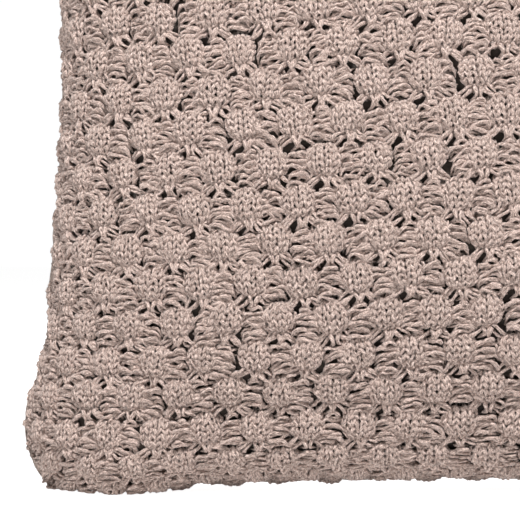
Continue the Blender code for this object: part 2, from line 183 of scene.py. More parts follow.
def mesh_object(name, points, quads, materials):
    """A smooth mesh from arrays of points and four-cornered faces."""
    mesh = bpy.data.meshes.new(name)
    mesh.vertices.add(len(points))
    mesh.vertices.foreach_set("co", np.asarray(points, np.float32).ravel())
    mesh.loops.add(quads.size)
    mesh.loops.foreach_set("vertex_index", np.asarray(quads, np.int32).ravel())
    mesh.polygons.add(len(quads))
    starts = np.arange(0, quads.size, quads.shape[1], dtype=np.int32)
    mesh.polygons.foreach_set("loop_start", starts)
    mesh.update(calc_edges=True)
    mesh.validate()
    mesh.shade_smooth()
    return linked(name, mesh, materials)


def yarn_piece(name, points, quads, yarn, materials):
    """A mesh whose points carry their place in the strand, which its material reads as "yarn"."""
    piece = mesh_object(name, points, quads, materials)
    attribute = piece.data.attributes.new("yarn", "FLOAT_VECTOR", "POINT")
    attribute.data.foreach_set("vector", np.asarray(yarn, np.float32).ravel())
    return piece


# ---- bubble knit

# The knit is in mm, at (u, v) in the cloth: u runs across the wales and v up the courses. One
# bubble's strands are drawn round its middle, and are then scaled by CLOTH_SCALE.
REPEAT_U, REPEAT_V = 27.2, 40.6
PHASE_U, PHASE_V = -55.7, -102.0
BUBBLE_COLUMNS, BUBBLE_ROWS = range(-20, 29), range(-11, 22)
CLOTH_SCALE = 0.92

# The cloth lies askew: its courses slope by TILT, and its wales drift from a share of the height.
TILT, TILT_PIVOT, NO_DRIFT_SHARE = 0.060, 142.0, 0.25

YARN_RADIUS = 1.03
SIDES, PLY_DEPTH, END_TAPER = 8, 0.30, (0.3, 0.8)
YARN_LENGTH = 4000
LOOP_SAMPLES, STRAND_SAMPLES, BUNDLE_SAMPLES, NECK_SAMPLES = 10, 8, 7, 13
BUBBLE_HALF_U, BUBBLE_HALF_V = 10.3, 11.0
BUBBLE_EDGE, BUBBLE_RISE, GROUND = 0.6, 6.0, -6.2
BUNDLE_STRANDS, LADDER_LEVELS, LADDER_STRANDS = 3, 5, 3
STEEPEST = 1.6

# Seeded unevenness: bubbles shift, swell, turn and rise, and strands wobble, stray and thicken.
SHIFT, SWELL, TURN, RISE = 0.55, 0.035, math.radians(3.5), 0.35
WOBBLE, STRAY, STRAY_TURN, UNEVEN = 0.26, 0.50, 0.17, 0.06

# The table of the skin, and how far a point may lie outside the cloth's edge.
TABLE_SIZE, GUESS_SIZE, GUESS_REACH = 281, 121, 310.0
FOUND_WITHIN, STRAND_OVER_EDGE, BUBBLE_OVER_EDGE = 0.5, 2.5, 24.0
FLOOR_CLEARANCE = 0.0002
PIECE_TRIANGLES = 190_000


def skin_table():
    """The front skin on a grid, with its normals and the cloth's two lengths along it, in mm."""
    steps = np.linspace(-1, 1, TABLE_SIZE)
    x, z = place(*np.meshgrid(steps, steps, indexing="ij"))
    points = skin_point(x, z, -1, 0.0) / MM
    normals = grid_normals(points)
    normals[:, [0, -1]] = normals[:, [1, -2]]
    normals[[0, -1]] = normals[[1, -2]]

    def lengths(axis, share):
        """Lengths from the middle along an axis of the grid, in which depth counts by a share."""
        step = np.diff(points, axis=axis)
        step = np.sqrt(step[..., 0] ** 2 + step[..., 2] ** 2 + share * step[..., 1] ** 2)
        total = np.insert(np.cumsum(step, axis=axis), 0, 0, axis=axis)
        return total - np.take(total, [TABLE_SIZE // 2], axis=axis)

    # Across the crown the knit is stretched, so there its way in depth counts only half.
    share = 0.5 + 0.5 * smooth_step(SHOULDER_X, SIDE_X, np.abs(x))
    along = np.stack([lengths(0, (share[1:] + share[:-1]) / 2), lengths(1, 1.0)], axis=-1)
    nearest = KDTree(TABLE_SIZE**2)
    for index, (a, b) in enumerate(along.reshape(-1, 2)):
        nearest.insert((a, b, 0), index)
    nearest.balance()
    known = along, np.gradient(along, axis=0), np.gradient(along, axis=1)
    table = {"points": points, "normals": normals, "nearest": nearest, "known": known}
    return table | {"guess": guesses(known)}


def looked_up(table, place_ij):
    """Values of a table on the grid at fractional grid places."""
    low = np.clip(np.floor(place_ij).astype(int), 0, table.shape[0] - 2)
    share = (place_ij - low)[..., None]
    i, j = low[..., 0], low[..., 1]
    s, t = share[..., 0, :], share[..., 1, :]
    first = table[i, j] * (1 - s) + table[i + 1, j] * s
    second = table[i, j + 1] * (1 - s) + table[i + 1, j + 1] * s
    return first * (1 - t) + second * t


def solved(wanted, found, known, rounds):
    """Grid places whose cloth lengths are the wanted ones, by Newton's steps from a first guess."""
    along, along_i, along_j = known
    for _ in range(rounds):
        miss = wanted - looked_up(along, found)
        di, dj = looked_up(along_i, found), looked_up(along_j, found)
        det = di[..., 0] * dj[..., 1] - di[..., 1] * dj[..., 0]
        move_i = (miss[..., 0] * dj[..., 1] - miss[..., 1] * dj[..., 0]) / det
        move_j = (di[..., 0] * miss[..., 1] - di[..., 1] * miss[..., 0]) / det
        move = np.clip(np.stack([move_i, move_j], axis=-1), -6, 6)
        found = np.clip(found + move, 0, TABLE_SIZE - 1)
    return found


def guesses(known):
    """A coarse table from cloth lengths back to grid places, solved outwards from the middle."""
    steps = np.linspace(-GUESS_REACH, GUESS_REACH, GUESS_SIZE)
    wanted = np.stack(np.meshgrid(steps, steps, indexing="ij"), axis=-1)
    found = np.full(wanted.shape, (TABLE_SIZE - 1) / 2.0)
    for share in np.linspace(0.05, 1, 40):
        found = solved(wanted * share, found, known, 3)
    return solved(wanted, found, known, 10)


def cloth_to_skin(cloth, table):
    """Grid places of points given in the cloth's own lengths, and how far outside it each lies."""
    along = table["known"][0]
    low, high = along[TABLE_SIZE // 2, [0, -1], 1]
    v = cloth[..., 1]
    share = np.clip((v - low) / (high - low), 0, 1)
    slope = TILT * np.sin(math.pi * share)
    turned = np.cos(math.pi * share) - math.cos(math.pi * NO_DRIFT_SHARE)
    a = cloth[..., 0] + TILT * (high - low) / math.pi * turned
    wanted = np.stack([a, v + slope * (a + TILT_PIVOT)], axis=-1)
    at = np.clip((wanted / GUESS_REACH + 1) / 2 * (GUESS_SIZE - 1), 0, GUESS_SIZE - 1)
    found = solved(wanted, looked_up(table["guess"], at), table["known"], 4)
    miss = np.linalg.norm(wanted - looked_up(along, found), axis=-1)
    far = np.flatnonzero(miss.ravel() > FOUND_WITHIN)
    lost = wanted.reshape(-1, 2)[far]
    nearest = np.array([table["nearest"].find((*spot, 0))[1] for spot in lost], int).reshape(-1)
    start = np.stack(np.divmod(nearest, TABLE_SIZE), axis=-1).astype(float)
    for tried in (start, solved(lost, start, table["known"], 3)):
        still = np.linalg.norm(lost - looked_up(along, tried), axis=-1)
        better = still < miss.reshape(-1)[far]
        found.reshape(-1, 2)[far[better]] = tried[better]
        miss.reshape(-1)[far[better]] = still[better]
    return found, miss


def bubble_height(u, v):
    """How high the bubble's dome stands over the skin."""
    inside = 1 - (u / BUBBLE_HALF_U) ** 2 - (v / BUBBLE_HALF_V) ** 2
    return GROUND + BUBBLE_RISE * np.sqrt(np.maximum(inside, 0))


def spread(share, limit, curl):
    """A share, -1 to 1, laid over a half width so that its ends curl away down the bubble's side."""
    return limit * np.sin(np.clip(share, -1.05, 1.05) * math.pi / 2 * curl) / math.sin(math.pi / 2 * curl)


def loop_row(course, wales):
    """One course of loops across a bubble as (u, v, lift, forward): forward is the loops' own depth."""
    turns = np.linspace(0, 2 * math.pi * wales, LOOP_SAMPLES * wales + 1)
    wale = turns / (2 * math.pi) - wales / 2 + 0.26 * np.sin(2 * turns)
    row = course - 0.74 * np.cos(turns)
    forward = -1.30 * np.cos(2 * turns) + 0.50 * np.cos(turns)
    v = spread((row - 3.5) / 3.2, BUBBLE_HALF_V - BUBBLE_EDGE, 0.62)
    half = (BUBBLE_HALF_U - BUBBLE_EDGE) * np.sqrt(np.maximum(1 - (v / (BUBBLE_HALF_V + 2.4)) ** 2, 0.05))
    to_foot, to_top = np.clip(-v / BUBBLE_HALF_V, 0, 1), np.clip(v / BUBBLE_HALF_V, 0, 1)
    half *= 1 - 0.26 * to_foot**1.4 - 0.08 * to_top
    u = spread(wale / (2.5 if wales == 5 else 1.9), half, 0.72)
    return np.stack([u, v, bubble_height(u, v) - BUBBLE_EDGE, forward], axis=-1)


def neck_loop():
    """The one wide loop that gathers the bubble's foot."""
    turns = np.linspace(-0.5, 2 * math.pi + 0.5, NECK_SAMPLES)
    ends = (np.abs(turns - math.pi) / math.pi) ** 5
    u = 5.4 * (turns / (2 * math.pi) - 0.5) + 1.3 * np.sin(2 * turns) + 0.8
    v = -11.2 - 3.3 * np.cos(turns) - 1.2 * ends
    forward = 0.4 * np.cos(turns) - 0.9 * np.cos(2 * turns)
    return np.stack([u, v, -2.3 - 1.5 * ends, forward], axis=-1)


def line(points, samples):
    """A smooth strand through a few (u, v, lift) points."""
    points = np.array(points, float)
    at = np.linspace(0, 1, len(points))
    fit = np.polynomial.polynomial.polyfit(at, points, len(points) - 1)
    made = np.polynomial.polynomial.polyval(np.linspace(0, 1, samples), fit).T
    return np.concatenate([made, np.zeros((samples, 1))], axis=1)


def bundle(side, strand):
    """One of the long legs that run from under a bubble's foot to its lower neighbour's shoulder."""
    offset = strand - 1.0
    start = (side * (1.6 + 0.9 * offset), -7.6 + 1.7 * offset, -5.2)
    middle = (side * (6.6 + 0.9 * offset), -11.4 + 1.6 * offset, -2.5 - 0.3 * strand)
    end = (side * (12.0 + 0.7 * offset), -15.6 + 1.5 * offset, -5.4)
    return line([start, middle, end], BUNDLE_SAMPLES)


def ladder_arch(level, strand):
    """One of the grouped strands that bridge the gap between two bubbles, ends tucked under them.

    Each leans to one side or the other, and the first of a group lies highest.
    """
    v = -19.0 - 3.75 * level - 1.32 * strand
    side = (-1, 1)[(level + strand) % 2]
    tip = (1.9, -1.5, 1.6, -1.9, 1.0)[level] * (1.0, -0.8, 0.5)[strand]
    lift = (-2.2, -2.9, -4.0)[strand]
    return line(
        [
            (-7.6, v - 2.3 - tip, -5.6),
            (-2.9 + 1.2 * side, v + 0.6 - 1.3 * side - tip / 2, lift - 0.7 * side),
            (2.5 + 1.2 * side, v + 0.6 + 1.3 * side + tip / 2, lift + 0.7 * side),
            (7.6, v - 2.3 + tip, -5.6),
        ],
        STRAND_SAMPLES,
    )


def pattern():
    """Every strand of one bubble's share of the cloth: (path, radius)."""
    strands = []
    for course in range(1, 7):
        strands.append((loop_row(course, 5 if 1 < course < 6 else 3), YARN_RADIUS))
    strands.append((neck_loop(), YARN_RADIUS * 1.25))
    for side in (-1, 1):
        for strand in range(BUNDLE_STRANDS):
            strands.append((bundle(side, strand), YARN_RADIUS * 1.06))
    arch = [(-2.6, -21.0, -5.4), (-0.8, -16.4, -1.9), (2.8, -16.2, -1.9), (4.6, -20.8, -5.4)]
    strands.append((line(arch, STRAND_SAMPLES), YARN_RADIUS * 1.3))
    for level in range(LADDER_LEVELS):
        for strand in range(LADDER_STRANDS if level < LADDER_LEVELS - 1 else 1):
            thickness = YARN_RADIUS * (1.16, 1.08, 1.12)[strand]
            strands.append((ladder_arch(level, strand), thickness))
    return strands


def tubes(paths, normals, radius, twist=0.22):
    """Two-ply strands along paths of shape (count, samples, 3): (points, faces, places in the yarn).

    The waist of each ring is the groove between the plies, and twist turns it along the strand.
    """
    count, samples = paths.shape[:2]
    tangent = unit(np.gradient(paths, axis=1))
    aside = unit(np.cross(tangent, normals))
    above = np.cross(aside, tangent)
    length = np.cumsum(np.linalg.norm(np.diff(paths, axis=1, prepend=paths[:, :1]), axis=-1), axis=1)
    start = RANDOM.uniform(0, YARN_LENGTH, (count, 1))
    around = np.arange(SIDES) * 2 * math.pi / SIDES
    ply = 1 + PLY_DEPTH * np.cos(2 * around)
    angle = around + (twist * length + RANDOM.normal(0, 0.5, (count, 1)))[:, :, None]
    ring = np.cos(angle)[..., None] * aside[:, :, None] + np.sin(angle)[..., None] * above[:, :, None]
    taper = np.ones(samples)
    taper[[0, -1]], taper[[1, -2]] = END_TAPER
    points = paths[:, :, None] + ((radius * taper)[:, :, None] * ply)[..., None] * ring
    base = (np.arange(count) * samples * SIDES)[:, None, None]
    step = (np.arange(samples - 1) * SIDES)[None, :, None]
    k = np.arange(SIDES)[None, None, :]
    after = (k + 1) % SIDES
    low = base + step
    quads = np.stack([low + k, low + after, low + SIDES + after, low + SIDES + k], axis=-1)
    strand = np.broadcast_to((length + start)[:, :, None], (count, samples, SIDES))
    turn = np.broadcast_to(around, (count, samples, SIDES))
    yarn = np.stack([strand, np.cos(turn), np.sin(turn)], axis=-1)
    return points.reshape(count, -1, 3), quads.reshape(count, -1, 4), yarn.reshape(count, -1, 3)


def bubble_centres(table):
    """The middles, on a staggered grid, of the bubbles that reach the front."""
    centres = np.array(
        [
            (PHASE_U + column * REPEAT_U / 2, PHASE_V + row * REPEAT_V / 2)
            for column in BUBBLE_COLUMNS
            for row in BUBBLE_ROWS
            if (column + row) % 2 == 0
        ]
    )
    _, miss = cloth_to_skin(centres, table)
    return centres[miss < BUBBLE_OVER_EDGE]


def leant(path, normal):
    """The skin's normals leant with the slope of the bubble, for a strand that lies on it."""
    u, v, _, forward = path.T
    right = unit(np.cross(normal, [0, 0, -1.0]))
    upward = np.cross(right, normal)

    def slope(across, up):
        rise = bubble_height(u + across, v + up) - bubble_height(u - across, v - up)
        return np.clip(np.where(forward != 0, rise, 0), -STEEPEST, STEEPEST)[None, :, None]

    return unit(normal - slope(0.5, 0) * right - slope(0, 0.5) * upward)


def laid(path, radius, bubbles, table):
    """One strand of the pattern at every bubble that it reaches: (bubbles, points, quads, yarn)."""
    centres, shift, swell, turn, rise = bubbles
    count, samples = len(centres), len(path)
    across, along, lift, forward = (path * CLOTH_SCALE).T
    wobble = RANDOM.normal(0, WOBBLE, (count, samples, 3))
    wobble = (wobble + np.roll(wobble, 1, axis=1) + np.roll(wobble, -1, axis=1)) / 1.7
    wide, high = across * swell, along * swell
    u = wide * np.cos(turn) - high * np.sin(turn) + wobble[..., 0]
    v = wide * np.sin(turn) + high * np.cos(turn) + wobble[..., 1]
    if not forward.any():
        stray = RANDOM.normal(0, STRAY, (count, 1, 3))
        lean = RANDOM.normal(0, STRAY_TURN, (count, 1)) * (across - across.mean())
        u = u + stray[..., 0] + wobble[..., 0]
        v = v + stray[..., 1] + wobble[..., 1] + lean
        wobble = wobble + stray * (0, 0, 0.8)
    lift = lift + rise * (lift - GROUND) / BUBBLE_RISE + wobble[..., 2]
    places, miss = cloth_to_skin(np.stack([u, v], axis=-1) + centres[:, None] + shift, table)
    skin, normal = looked_up(table["points"], places), unit(looked_up(table["normals"], places))
    direction = leant(path, normal)
    points = skin + lift[..., None] * normal + forward[None, :, None] * direction
    thinner = 1 - 0.16 * np.clip(-forward, -1, 1)
    thick = radius * CLOTH_SCALE * thinner * (1 + RANDOM.normal(0, UNEVEN, (count, samples)))
    reached = miss.min(axis=1) < STRAND_OVER_EDGE
    return np.flatnonzero(reached), *tubes(points[reached], direction[reached], thick[reached])


def band_numbers(centres, strands):
    """The band of each bubble, counted up the rows, so that a band has about PIECE_TRIANGLES."""
    triangles = np.zeros(len(centres))
    for owners, _, quads, _ in strands:
        triangles[owners] += quads.shape[1] * 2
    order = np.lexsort((centres[:, 0], np.round(centres[:, 1], 1)))
    running = np.cumsum(triangles[order])
    bands = math.ceil(running[-1] / PIECE_TRIANGLES)
    numbers = np.zeros(len(centres), int)
    numbers[order] = np.minimum((running / (running[-1] / bands)).astype(int), bands - 1)
    return numbers


def band_piece(name, inside, strands, materials):
    """The strands of the bubbles inside one band, as one piece."""
    all_points, all_quads, all_yarn, start = [], [], [], 0
    for owners, points, quads, yarn in strands:
        chosen = np.flatnonzero(inside[owners])
        if not len(chosen):
            continue
        size = points.shape[1]
        starts = start + np.arange(len(chosen)) * size
        all_points.append(points[chosen].reshape(-1, 3))
        all_yarn.append(yarn[chosen].reshape(-1, 3))
        all_quads.append((quads[0][None] + starts[:, None, None]).reshape(-1, 4))
        start += len(chosen) * size
    points = np.concatenate(all_points) * MM
    points[:, 2] = np.maximum(points[:, 2], FLOOR_CLEARANCE)
    return yarn_piece(name, points, np.concatenate(all_quads), np.concatenate(all_yarn), materials)


def knit(table, materials):
    """The knitted front as bands of yarn tubes."""
    centres = bubble_centres(table)
    count = len(centres)
    shift = RANDOM.normal(0, SHIFT, (count, 1, 2))
    swell = 1 + RANDOM.normal(0, SWELL, (count, 1))
    turn = RANDOM.normal(0, TURN, (count, 1))
    rise = RANDOM.normal(0, RISE, (count, 1))
    bubbles = centres, shift, swell, turn, rise
    strands = [laid(path, radius, bubbles, table) for path, radius in pattern()]
    numbers = band_numbers(centres, strands)
    return [
        band_piece(f"knit_band_{band + 1:02d}", numbers == band, strands, materials)
        for band in range(numbers.max() + 1)
    ]


# ---- cloth faces


def face_grid(side, inset, rim, columns, rows):
    """Points over one whole face, as an array of columns by rows."""
    x, z = place(*np.meshgrid(np.linspace(-1, 1, columns), np.linspace(-1, 1, rows), indexing="ij"))
    return skin_point(x, z, side, inset, rim)


def panel_grid(upward, columns, rows):
    """Points over the back panel above the zip (upward 1) or below it (-1); row 0 runs along the zip."""
    edge = half_width_at(ZIP_Z)
    start_x = edge * np.sin(math.pi / 2 * np.linspace(-1, 1, columns))[:, None]
    shut = smooth_step(ZIP_HALF, ZIP_HALF + SLOT_CLOSE, np.abs(start_x))
    level = ZIP_Z + upward * (GAP + (SLOT_HALF - GAP) * (1 - shut))
    share = np.linspace(0, 1, rows)[None, :]
    x = start_x * np.ones_like(share)
    for _ in range(SETTLING_ROUNDS):
        reach = half_height_at(x)
        first = np.arcsin((level - MIDDLE_Z) / reach)
        z = MIDDLE_Z + reach * np.sin(first + (math.pi / 2 * upward - first) * share)
        x = (x + start_x * half_width_at(z) / edge) / 2
    return skin_point(x, z, 1, 0.0)


def grid_quads(columns, rows):
    corner = (np.arange(columns - 1)[:, None] * rows + np.arange(rows - 1)[None]).ravel()
    return np.stack([corner, corner + rows, corner + rows + 1, corner + 1], axis=-1)


def outward(points):
    """Normals of a grid of points on the pillow, pointing away from its middle."""
    normals = grid_normals(points)
    away = points - (0, 0, MIDDLE_Z)
    return normals * np.sign((normals * away).sum())


def ripple(points, waves, shortest, longest, height):
    """A soft unevenness of about this height, from seeded waves."""
    total = np.zeros(points.shape[:-1])
    for _ in range(waves):
        direction = unit(RANDOM.normal(size=3))
        length = RANDOM.uniform(shortest, longest)
        total += np.sin(points @ direction * (2 * math.pi / length) + RANDOM.uniform(0, 2 * math.pi))
    return height * total / math.sqrt(waves / 2)


def relaxed(points, held, pressure, spare, cap):
    """The sheet pressed out by the filling, simulated as cloth with a spare share of length.

    held marks the points that sewing keeps in place, and cap is the furthest that any other moves.
    """
    columns, rows = points.shape[:2]
    normals = outward(points)
    quads = grid_quads(columns, rows)
    if (grid_normals(points) * normals).sum() < 0:
        quads = quads[:, ::-1]
    start = points + (ripple(points, 14, 0.015, 0.05, 0.0006) * ~held)[..., None] * normals
    sheet = mesh_object("relaxing", start.reshape(-1, 3), quads, [])
    group = sheet.vertex_groups.new(name="held")
    group.add([int(index) for index in np.flatnonzero(held.ravel())], 1.0, "REPLACE")
    settings = sheet.modifiers.new("cloth", "CLOTH").settings
    settings.quality = 5
    settings.mass = 0.2
    settings.use_pressure = True
    settings.uniform_pressure_force = pressure
    settings.shrink_min = -spare
    settings.vertex_group_mass = "held"
    settings.effector_weights.gravity = 0
    for step in range(1, RELAX_STEPS + 1):
        bpy.context.scene.frame_set(step)
    result = sheet.evaluated_get(bpy.context.evaluated_depsgraph_get())
    moved = np.empty(points.size, np.float32)
    result.data.vertices.foreach_get("co", moved)
    mesh = sheet.data
    bpy.data.objects.remove(sheet)
    bpy.data.meshes.remove(mesh)
    bpy.context.scene.frame_set(1)
    move = moved.reshape(points.shape).astype(float) - points
    length = np.maximum(np.linalg.norm(move, axis=-1, keepdims=True), 1e-9)
    return points + move * cap * np.tanh(length / cap) / length


def cloth_piece(name, outer, inner, materials, finer=0):
    """A closed sheet between two grids of points with the same layout."""
    columns, rows = outer.shape[:2]
    total = columns * rows
    faces = grid_quads(columns, rows)
    rim = np.concatenate(
        [
            np.arange(columns) * rows,
            (columns - 1) * rows + np.arange(1, rows),
            np.arange(columns - 2, -1, -1) * rows + rows - 1,
            np.arange(rows - 2, 0, -1),
        ]
    )
    after = np.roll(rim, -1)
    sides = np.stack([after, rim, rim + total, after + total], axis=-1)
    quads = np.concatenate([faces, faces[:, ::-1] + total, sides])
    points = np.concatenate([outer.reshape(-1, 3), inner.reshape(-1, 3)])
    a, b, c, d = (points[quads[:, k]] for k in range(4))
    volume = (np.cross(b, c) * a).sum() + (np.cross(c, d) * a).sum()
    piece = mesh_object(name, points, quads if volume > 0 else quads[:, ::-1], materials)
    if finer:
        more = piece.modifiers.new("finer", "SUBSURF")
        more.levels = more.render_levels = finer
        graph = bpy.context.evaluated_depsgraph_get()
        mesh = bpy.data.meshes.new_from_object(piece.evaluated_get(graph))
        piece.modifiers.clear()
        piece.data = mesh
    return piece


def back_panel(name, upward, columns, rows, materials):
    """One woven panel of the back, pressed out by the insert and held flat round the zip."""
    points = panel_grid(upward, columns, rows)
    x, z = points[..., 0], points[..., 2]
    held = (np.abs(x) < FLAT_X) & (np.abs(z - ZIP_Z) < FLAT_Z + 0.002)
    held[:, [0, 1, -1]] = True
    held[[0, -1]] = True
    shaped = relaxed(points, held, pressure=3.0, spare=0.035, cap=BACK_SWELL)
    shaped[..., 2] = np.maximum(shaped[..., 2], 0.0)
    inner = shaped - BACK_CLOTH * outward(shaped)
    inner[..., 2] = np.maximum(inner[..., 2], 0.0004)
    return cloth_piece(name, shaped, inner, materials, finer=1)


def lining_piece(name, materials):
    """The lining cloth that shows through the holes of the knit. Its colour is painted darker than the
    cloth's own, as the shade that falls in the holes.
    """
    outer = face_grid(-1, LINING_INSET, COVER_RIM, 121, 121)
    outer = outer + ripple(outer, 16, 0.008, 0.03, 0.0002)[..., None] * outward(outer)
    return cloth_piece(name, outer, outer - LINING_THICK * outward(outer), materials)


def casing_piece(name, side, materials):
    """One face of the insert's casing, held all round by its seam."""
    points = face_grid(side, INSERT_INSET, INSERT_RIM, 72, 72)
    held = np.zeros(points.shape[:2], bool)
    held[[0, -1]] = held[:, [0, -1]] = True
    shaped = relaxed(points, held, pressure=1.5, spare=0.03, cap=CASING_SWELL)
    return cloth_piece(name, shaped, shaped - CASING * outward(shaped), materials, finer=1)


def filling_piece(name, materials):
    """The loose filling, lumpy but for its rim."""
    inset = INSERT_INSET + CASING + FILLING_GAP
    faces = [face_grid(side, inset, INSERT_RIM, 97, 97) for side in (-1, 1)]
    lumpy = []
    for face in faces:
        dents = np.abs(ripple(face, 20, 0.012, 0.05, 0.0018))
        lumpy.append(face - dents[..., None] * outward(face))
    for face, smooth in zip(lumpy, faces):
        face[[0, -1]], face[:, [0, -1]] = smooth[[0, -1]], smooth[:, [0, -1]]
    return cloth_piece(name, *lumpy, materials)


# ---- sewing and zip


def strands_piece(name, paths, radius, materials, normals=(0, 1.0, 0), twist=0.9):
    """Threads along paths in metres, shape (count, samples, 3), as one piece."""
    paths = np.asarray(paths) / MM
    normals = np.broadcast_to(normals, paths.shape)
    points, quads, yarn = tubes(paths, normals, np.full(paths.shape[:2], radius / MM), twist)
    return yarn_piece(name, points.reshape(-1, 3) * MM, quads.reshape(-1, 4), yarn, materials)


def joined(name, pieces):
    """The pieces as one object, under a name."""
    for piece in bpy.context.selected_objects:
        piece.select_set(False)
    for piece in pieces:
        piece.select_set(True)
    bpy.context.view_layer.objects.active = pieces[0]
    bpy.ops.object.join()
    pieces[0].name = name
    return pieces[0]


def edge_positions(edge, share):
    """(x, z) along one edge of the outline, share from -1 to 1."""
    whole = np.ones_like(share)
    if edge in ("left", "right"):
        return place(whole if edge == "right" else -whole, share)
    return place(share, whole if edge == "top" else -whole)


def strip_piece(name, edge, span, insets, half, materials):
    """A flat strip of cloth in the seam's plane along part of an edge."""
    x, z = edge_positions(edge, np.linspace(-span, span, 161))
    flat = np.stack([skin_point(x, z, 1, inset, 0.0) for inset in insets], axis=1) * (1, 0, 1)
    return cloth_piece(name, flat - (0, half, 0), flat + (0, half, 0), materials)


def seam_piece(name, edge, materials):
    """A seam allowance with its overlocking wound round it."""
    insets = (SEAM_SETBACK, SEAM_SETBACK + SEAM_WIDTH)
    strip = strip_piece(name, edge, SEAM_SPAN, insets, SEAM_HALF, materials)
    share = np.linspace(-SEAM_SPAN, SEAM_SPAN, OVERLOCK_TURNS * 8 + 1)
    x, z = edge_positions(edge, share)
    middle = skin_point(x, z, 1, SEAM_SETBACK + SEAM_WIDTH / 2, 0.0)
    outer = skin_point(x, z, 1, SEAM_SETBACK, 0.0)
    phase = share / SEAM_SPAN * OVERLOCK_TURNS * math.pi
    wound = middle + (outer - middle) * (np.cos(phase) * 1.06)[:, None]
    wound[:, 1] = np.sin(phase) * (SEAM_HALF + GAP)
    wound[:, 2] = np.maximum(wound[:, 2], 2 * GAP)
    thread = strands_piece(name + "_overlock", [wound], OVERLOCK_THREAD, materials)
    return joined(name, [strip, thread])


def zip_levels():
    """The y of the back panel's outer face and of the tapes' middle, at the zip."""
    outer = skin_point(0.0, ZIP_Z, 1, 0.0)[1]
    return outer, skin_point(0.0, ZIP_Z, 1, BACK_CLOTH)[1] - GAP - TAPE_THICK / 2


def tape_piece(name, upward, materials):
    """A woven tape with a thicker bead along the coil and a thin outer edge."""
    _, middle = zip_levels()
    share = np.linspace(0, 1, 9)
    bead = np.exp(-(((share - 0.06) / 0.08) ** 2))
    half = TAPE_THICK / 2 * (0.72 + 0.28 * bead - 0.3 * (share > 0.97))
    x = np.linspace(-ZIP_HALF, ZIP_HALF, 341)
    z = ZIP_Z + upward * (TAPE_IN + (TAPE_OUT - TAPE_IN) * share)
    layers = [xyz(x[:, None], middle + sign * half, z) for sign in (-1, 1)]
    return cloth_piece(name, *layers, materials)


def coil_piece(name, upward, materials):
    """A coil of monofilament, flattened where its heads meet the other coil, with its cord inside."""
    _, middle = zip_levels()
    reach = ZIP_HALF - STOP_LENGTH - GAP
    turns = int(2 * reach / COIL_PITCH)
    phase = np.linspace(0, 2 * math.pi * turns, turns * 10 + 1)
    x = np.linspace(-reach + COIL_END, reach - COIL_END, len(phase)) + COIL_SHIFT * (upward > 0)
    near, far = COIL_IN - 0.0001, COIL_OUT - 0.0003
    z = ZIP_Z + upward * ((near + far) / 2 - (far - near) / 2 * np.cos(phase))
    y = middle + COIL_DEPTH * np.sign(np.sin(phase)) * np.abs(np.sin(phase)) ** 0.7
    coil = strands_piece(name, [xyz(x, y, z)], COIL_WIRE, materials, twist=0.0)
    inside = xyz(x[::20], middle, ZIP_Z + upward * COIL_CORD_OUT)
    cord = strands_piece(name + "_cord", [inside], COIL_CORD, materials)
    return joined(name, [coil, cord])


def topstitch_piece(name, upward, materials):
    """A row of single stitches, each sunk into the cloth at its ends."""
    level, _ = zip_levels()
    count = TOPSTITCHES
    middles = np.linspace(-ZIP_HALF + 0.002, ZIP_HALF - 0.002, count)
    share = np.linspace(-1, 1, 7)
    x = middles[:, None] + TOPSTITCH_HALF * share + RANDOM.normal(0, 0.00005, (count, 1))
    y = level + 0.00042 - 0.00045 * share**4
    z = ZIP_Z + upward * TOPSTITCH_OUT + RANDOM.normal(0, 0.00006, (count, 1))
    return strands_piece(name, xyz(x, y, z), TOPSTITCH_THREAD, materials)


def bartack_piece(name, side, materials):
    """Close zigzag stitches that lock the end of the zip's opening."""
    level, _ = zip_levels()
    levels = np.linspace(-TOPSTITCH_OUT, TOPSTITCH_OUT, BARTACK_STITCHES)
    share = np.linspace(-1, 1, 6)
    x = side * (BARTACK_X + BARTACK_WIDTH / 2) + BARTACK_WIDTH / 2 * share
    y = level + 0.0006 - 0.0004 * share**4
    slant = np.where(np.arange(BARTACK_STITCHES) % 2, 1, -1)[:, None] * 0.00016
    z = ZIP_Z + levels[:, None] + slant * share
    return strands_piece(name, xyz(x, y, z), BARTACK_THREAD, materials)


def closing_piece(name, materials):
    """The insert's hand-sewn closing: a pinched strip with slanting stitches over it."""
    insets = (INSERT_INSET + GAP / 2, INSERT_INSET + CASING)
    strip = strip_piece(name, "bottom", CLOSING_SPAN, insets, INSERT_SEAM_HALF, materials)
    share = CLOSING_SPAN * np.linspace(-0.98, 0.98, CLOSING_STITCHES)
    x, z = edge_positions("bottom", share)
    middle = skin_point(x, z, 1, INSERT_INSET + CASING / 2, 0.0)
    over = np.linspace(-1, 1, 7)
    x = middle[:, None, 0] + 0.0012 * over
    z = middle[:, None, 2] - 0.0005 * (1 - over**2) + 0.0002
    paths = xyz(x, 0.0011 * over, z)
    stitches = strands_piece(name + "_stitches", paths, CLOSING_THREAD, materials, (0, 0, -1.0))
    return joined(name, [strip, stitches])


def label_piece(name, materials):
    """A blank satin label with turned ends."""
    columns, rows = 41, 37
    x = LABEL_X + LABEL_WIDTH * np.linspace(0, 1, columns)[:, None]
    z = LABEL_Z + LABEL_HEIGHT * np.linspace(0, 1, rows)[None]
    outer = skin_point(x, z, 1, LABEL_INSET)
    outer = outer + ripple(outer, 8, 0.012, 0.03, 0.0002)[..., None] * outward(outer)
    hem = 1 + 0.6 * (np.abs(np.linspace(-1, 1, columns)) > 0.93)[:, None, None]
    return cloth_piece(name, outer, outer - LABEL_THICK * hem * outward(outer), materials)


